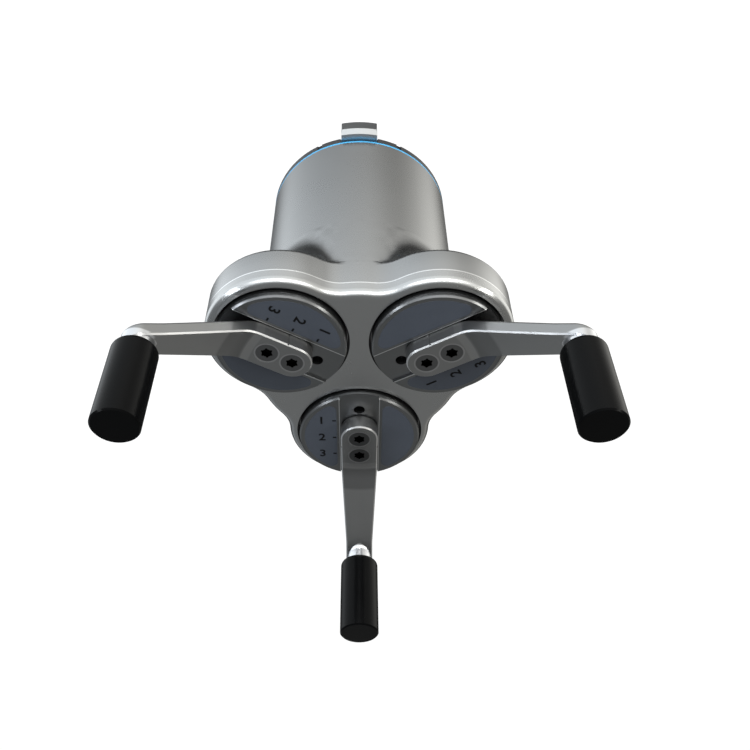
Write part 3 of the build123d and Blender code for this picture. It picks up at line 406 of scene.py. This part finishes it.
def head_steel(name):
    """Dark screw head with a lighter rim and painted shade in its socket."""
    sheet = Sheet(name)
    x, y, z = sheet.axes()
    screws = [
        around_axis(DISC_CIRCLE + along, angle)
        for angle in JAWS.values()
        for along in (-HOLE_PITCH / 2, HOLE_PITCH / 2)
    ]
    head = sheet.mix(nearest(x, y, screws).ramp(*HEAD_RIM), *SCREW_METAL)
    return sheet.finish(
        # painted shade: the socket below the head's face is near black
        Base_Color=sheet.mix(z.ramp(*HEAD_FACE), SOCKET_SHADE, head),
        Metallic=1.0,
        Roughness=SCREW_ROUGHNESS,
    )


def moulded(name, colour, rough, shine=0.5):
    """Moulded plastic or rubber with a fine matt grain."""
    sheet = Sheet(name)
    cloud = sheet.noise(PLASTIC_CLOUD_SCALE, 3.0, 0.6)
    grain = sheet.noise(PLASTIC_GRAIN_SCALE, 2.0, 0.6)
    return sheet.finish(
        Base_Color=sheet.mix(cloud.swing(PLASTIC_TONE_SWING) + MIDDLE_TONE, *shades(colour, PLASTIC_SHADES)),
        Specular_IOR_Level=shine,
        Roughness=cloud.swing(PLASTIC_ROUGH_SWING) + rough,
        Normal=sheet.bump(grain, PLASTIC_BUMP),
    )


def turned_steel(name, colour, rough):
    """Turned or ground metal with faint streaks."""
    sheet = Sheet(name)
    streak = sheet.marks(GRINDING_MARKS)
    return sheet.finish(
        Base_Color=sheet.mix(streak, *shades(colour, STEEL_SHADES)),
        Metallic=1.0,
        Roughness=streak.swing(STEEL_ROUGH_SWING) + rough,
        Normal=sheet.bump(streak, STEEL_BUMP),
    )


def disc_metal(name):
    """Dark anodised disc with painted highlights along its channel's edges and painted shadow on the channel
    floor beneath the finger.
    """
    sheet = Sheet(name)
    x, y, z = sheet.axes()
    channel_highlight = None
    channel_shadow = None
    for angle in JAWS.values():
        out_x, out_y = around_axis(1.0, angle)
        along = x * out_x + y * out_y - DISC_CIRCLE
        across = length(y * out_x - x * out_y)
        own = 1.0 - length(along, across).ramp(*DISC_RIM)
        # painted highlight: bright lines along the channel's edges
        line = across.band(CHANNEL_WIDTH / 2, *CHANNEL_EDGE) * own
        shade = along.ramp(*CHANNEL_SHADE) * own
        channel_highlight = line if channel_highlight is None else channel_highlight.most(line)
        channel_shadow = shade if channel_shadow is None else channel_shadow.most(shade)
    channel_highlight = channel_highlight * z.ramp(*DISC_FACE)
    channel_shadow = channel_shadow * (1.0 - z.ramp(*CHANNEL_WALL)) * z.ramp(*CHANNEL_FLOOR)
    cloud = sheet.cloud()
    tinted = sheet.mix(cloud.swing(DISC_TONE_SWING) + MIDDLE_TONE, *DISC_METAL)
    # painted shadow: the channel floor is darkened where the finger shades it
    tinted = sheet.mix(channel_shadow * CHANNEL_SHADOW_STRENGTH, tinted, CHANNEL_SHADOW_COLOUR)
    return sheet.finish(
        Base_Color=sheet.mix(channel_highlight, tinted, EDGE_HIGHLIGHT),
        Metallic=1.0,
        Roughness=cloud.swing(CLOUD_ROUGH_SWING) + DISC_ROUGHNESS,
        Normal=sheet.bump(sheet.grain(), BLASTED_BUMP),
    )


def finger_metal(name):
    """Dark anodised arm with painted highlights on its sloping edges, a painted dark reflection in a band at
    its bend and a painted highlight streak beside it; the boss below the fingertip is bright.
    """
    sheet = Sheet(name)
    x, y, z = sheet.axes()
    tips = [around_axis(TIP_CIRCLE, angle) for angle in JAWS.values()]
    boss = (1.0 - nearest(x, y, tips).ramp(*BOSS_WALL)) * z.ramp(*BOSS_FOOT)
    cloud = sheet.cloud(ARM_CLOUD_SCALE)
    radius = length(x, y)
    # painted dark reflection: a darker band across the arm at its bend
    bend = radius.band(BEND_CIRCLE, *BEND_BAND) * BEND_REFLECTION_DARKNESS
    # painted highlight: a lighter streak across the arm
    streak = radius.band(HIGHLIGHT_STREAK_CIRCLE, *HIGHLIGHT_STREAK_BAND) * PAINTED_HIGHLIGHT_LIGHTNESS
    arm = sheet.mix(cloud.swing(ARM_TONE_SWING) + ARM_TONE - bend + streak, *ARM_METAL)
    rough = cloud.swing(CLOUD_ROUGH_SWING) + ARM_ROUGHNESS
    upward = sheet.split(sheet.node("ShaderNodeNewGeometry", {}, output="Normal"))[2]
    # painted highlight: lighter colour on sloping faces such as the chamfers
    edge_highlight = upward.ramp(*EDGE_HIGHLIGHT_SLOPE) * (1.0 - upward.ramp(*EDGE_HIGHLIGHT_TOP)) * EDGE_HIGHLIGHT_SHARE
    return sheet.finish(
        Base_Color=sheet.mix(boss, sheet.mix(edge_highlight, arm, EDGE_HIGHLIGHT), BOSS_METAL),
        Metallic=1.0,
        Roughness=rough * (1.0 - boss) + boss * BOSS_ROUGHNESS,
        Normal=sheet.bump(sheet.grain() * (1.0 - boss), ARM_BUMP),
    )


def floor_finish():
    """White floor with the object's shadow; metal looks through it at the studio's lower half."""
    sheet = Sheet("studio_floor")
    glow = sheet.node("ShaderNodeEmission", {}, Color=WHITE, Strength=FLOOR_GLOW)
    shaded = sheet.node("ShaderNodeBsdfDiffuse", {}, Color=FLOOR_SEEN)
    seen = sheet.node("ShaderNodeAddShader", {}, glow, shaded)
    plain = sheet.node("ShaderNodeBsdfDiffuse", {}, Color=FLOOR_LIGHT)
    clear = sheet.node("ShaderNodeBsdfTransparent", {})
    lit = sheet.node("ShaderNodeMixShader", {}, sheet.ray("Glossy"), plain, clear)
    sheet.surface(sheet.node("ShaderNodeMixShader", {}, sheet.looked_at(), lit, seen))
    return sheet.block


# Studio

def make_floor():
    bpy.ops.object.select_all(action="DESELECT")
    bpy.ops.mesh.primitive_circle_add(
        vertices=FLOOR_CORNERS, radius=FLOOR_RADIUS, fill_type="NGON", location=(0, 0, 0)
    )
    floor = bpy.context.object
    floor.name = "studio_floor"
    floor.data.materials.append(floor_finish())


def make_world():
    """White where it is seen; as light, a bright panel in front, dim overhead and dark straight below."""
    sheet = Sheet("studio", bpy.data.worlds)
    bpy.context.scene.world = sheet.block
    across, along, up = sheet.split(sheet.node("ShaderNodeTexCoord", {}, output="Generated"))
    flat = (across * across + along * along + TINY) ** 0.5
    aside = across / flat
    ahead = along / flat
    right_x, right_y = BELOW_RIGHT_PLACE
    right = 1.0 - length(aside - right_x, ahead - right_y).ramp(*BELOW_RIGHT_SPREAD)
    sides = ahead.ramp(*BELOW_SIDES_DEPTH) * BELOW_SIDES - ahead.ramp(*BELOW_BACK_DEPTH) * BELOW_BACK
    around = 1.0 + sides - right * BELOW_RIGHT
    below = STRAIGHT_DOWN_LEVEL + up.ramp(*BELOW_HEIGHT) * around * BELOW_LEVEL
    panel = (1.0 - along.ramp(*PANEL_DEPTH)) * (1.0 - up.ramp(*PANEL_TOP)) * PANEL_LEVEL
    behind = along.ramp(*BEHIND_DEPTH) * (1.0 - up.ramp(*BEHIND_TOP)) * BEHIND_LEVEL
    above = OVERHEAD_LEVEL + panel + behind
    share = up.ramp(*HORIZON)
    level = above * share + below * (1.0 - share)
    tint = sheet.mix(across.ramp(*TINT_WIDTH), WARM_SKY, COOL_SKY)
    studio = sheet.node("ShaderNodeBackground", {}, Color=tint, Strength=level)
    white = sheet.node("ShaderNodeBackground", {}, Color=WHITE, Strength=1.0)
    mixed = sheet.node("ShaderNodeMixShader", {}, sheet.looked_at(), studio, white)
    sheet.surface(mixed, "ShaderNodeOutputWorld")


def softbox(name, place, size, power, colour):
    """Rectangular lamp that faces the gripper and isn't seen itself."""
    lamp = bpy.data.lights.new(name, "AREA")
    lamp.shape = "RECTANGLE"
    lamp.size, lamp.size_y = size
    lamp.energy = power
    lamp.color = colour
    holder = bpy.data.objects.new(name, lamp)
    holder.visible_camera = False
    bpy.context.scene.collection.objects.link(holder)
    towards = Vector(LAMP_AIM) - Vector(place)
    holder.location = place
    holder.rotation_euler = towards.to_track_quat("-Z", "Y").to_euler()


def light_studio():
    softbox("over_button", (0, -0.8, 0.35), (0.9, 0.12), BUTTON_LAMP_POWER, WHITE)
    softbox("left_strip", (0.7, -0.35, 0.3), (0.1, 0.7), STRIP_LAMP_POWER, COOL_LAMP)
    softbox("right_strip", (-0.7, -0.35, 0.3), (0.1, 0.7), STRIP_LAMP_POWER, WARM_LAMP)


# Pieces

def paint(name, material):
    slots = NODES[name].data.materials
    slots.clear()
    slots.append(material)


def settle(piece, name, body, material):
    """Puts a finished piece's place into its mesh, names it and lets it ride on its body."""
    bpy.ops.object.select_all(action="DESELECT")
    piece.select_set(True)
    bpy.context.view_layer.objects.active = piece
    bpy.ops.object.transform_apply(location=True, rotation=True, scale=True)
    piece.name = name
    piece.data.name = name
    piece.data.materials.clear()
    piece.data.materials.append(material)
    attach(piece, body)


def printed_number(number, placed):
    bpy.ops.object.select_all(action="DESELECT")
    bpy.ops.object.text_add()
    text = bpy.context.object
    text.data.body = str(number)
    text.data.size = NUMBER_SIZE
    text.data.align_x = "CENTER"
    text.data.align_y = "CENTER"
    text.data.extrude = INK_THICKNESS
    text.data.offset = INK_SPREAD
    text.data.resolution_u = NUMBER_SMOOTHNESS
    text.matrix_world = placed
    bpy.ops.object.convert(target="MESH")
    return bpy.context.object


def printed_dash(placed):
    bpy.ops.object.select_all(action="DESELECT")
    bpy.ops.mesh.primitive_cube_add(size=1)
    dash = bpy.context.object
    dash.matrix_world = placed @ Matrix.Diagonal((*DASH_SIZE, 1))
    return dash


def label_marks(letter, material):
    """Numbers 1 to 3 and their index dashes, printed on the number label of one jaw."""
    out = Vector((*around_axis(1.0, JAWS[letter]), 0))
    side = Vector((-out.y, out.x, 0))
    turn = Matrix((side, -out, Vector((0, 0, 1)))).transposed().to_4x4()
    marks = []
    for number in (1, 2, 3):
        middle = out * (DISC_CIRCLE + (number - 2) * HOLE_PITCH) + Vector((0, 0, DISC_TOP + INK_LIFT))
        marks.append(printed_number(number, Matrix.Translation(middle - side * NUMBER_LINE) @ turn))
        marks.append(printed_dash(Matrix.Translation(middle - side * DASH_LINE) @ turn))
    bpy.ops.object.select_all(action="DESELECT")
    for mark in marks:
        mark.select_set(True)
    bpy.context.view_layer.objects.active = marks[0]
    bpy.ops.object.join()
    settle(bpy.context.object, f"jaw_{letter}_label_marks", f"jaw_{letter}", material)


bpy.context.scene.view_settings.view_transform = "Standard"
make_camera()
make_world()
light_studio()
make_floor()

steel = turned_steel("steel", (0.5, 0.5, 0.51), 0.3)
black = moulded("adapter_black", (0.02, 0.02, 0.022), 0.45)
FINISH = {
    # the housing gets painted light towards the seam and painted shade low on the lobes' walls
    "housing_aluminium": blasted_aluminium(
        "satin_housing", (0.345, 0.35, 0.355), 0.28, turned=0.12, seam=SEAM, front=0.6
    ),
    "button_aluminium": blasted_aluminium("button_metal", (0.5, 0.51, 0.52), 0.34),
    "adapter_black": black,
    "ring_blue": moulded("ring_blue", (0.06, 0.36, 0.66), 0.35),
    "disc_dark": disc_metal("dark_disc"),
    "label_blue_grey": moulded("label_film", (0.055, 0.065, 0.085), 0.42),
    "finger_dark": finger_metal("finger_metal"),
    "screw_dark": head_steel("screw_dark"),
    "screw_steel": steel,
    "gear_steel": steel,
    "bearing_steel": turned_steel("bright_steel", (0.68, 0.68, 0.69), 0.18),
    "motor_steel": steel,
    "bush_bronze": turned_steel("bronze", (0.55, 0.4, 0.2), 0.35),
    "contact_gold": turned_steel("contact_gold", (0.85, 0.65, 0.25), 0.2),
    "connector_black": black,
    "board_green": moulded("board_green", (0.01, 0.11, 0.05), 0.4),
    "seal_rubber": moulded("seal_rubber", (0.01, 0.01, 0.01), 0.6),
    "sleeve_rubber": moulded("sleeve_rubber", (0.0016, 0.0017, 0.0019), 0.24, shine=0.07),
}
for part in frame["record"]["subparts"]:
    paint(part["node"], FINISH[part["material_slot"]])
paint("front_cover", blasted_aluminium("satin_cover", (0.44, 0.446, 0.45), 0.26, seam=SEAM))
ink = moulded("label_ink", (0.003, 0.003, 0.003), 0.5, shine=0.1)
for letter in JAWS:
    label_marks(letter, ink)
springs = NODES["latch_springs"]
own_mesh(springs)
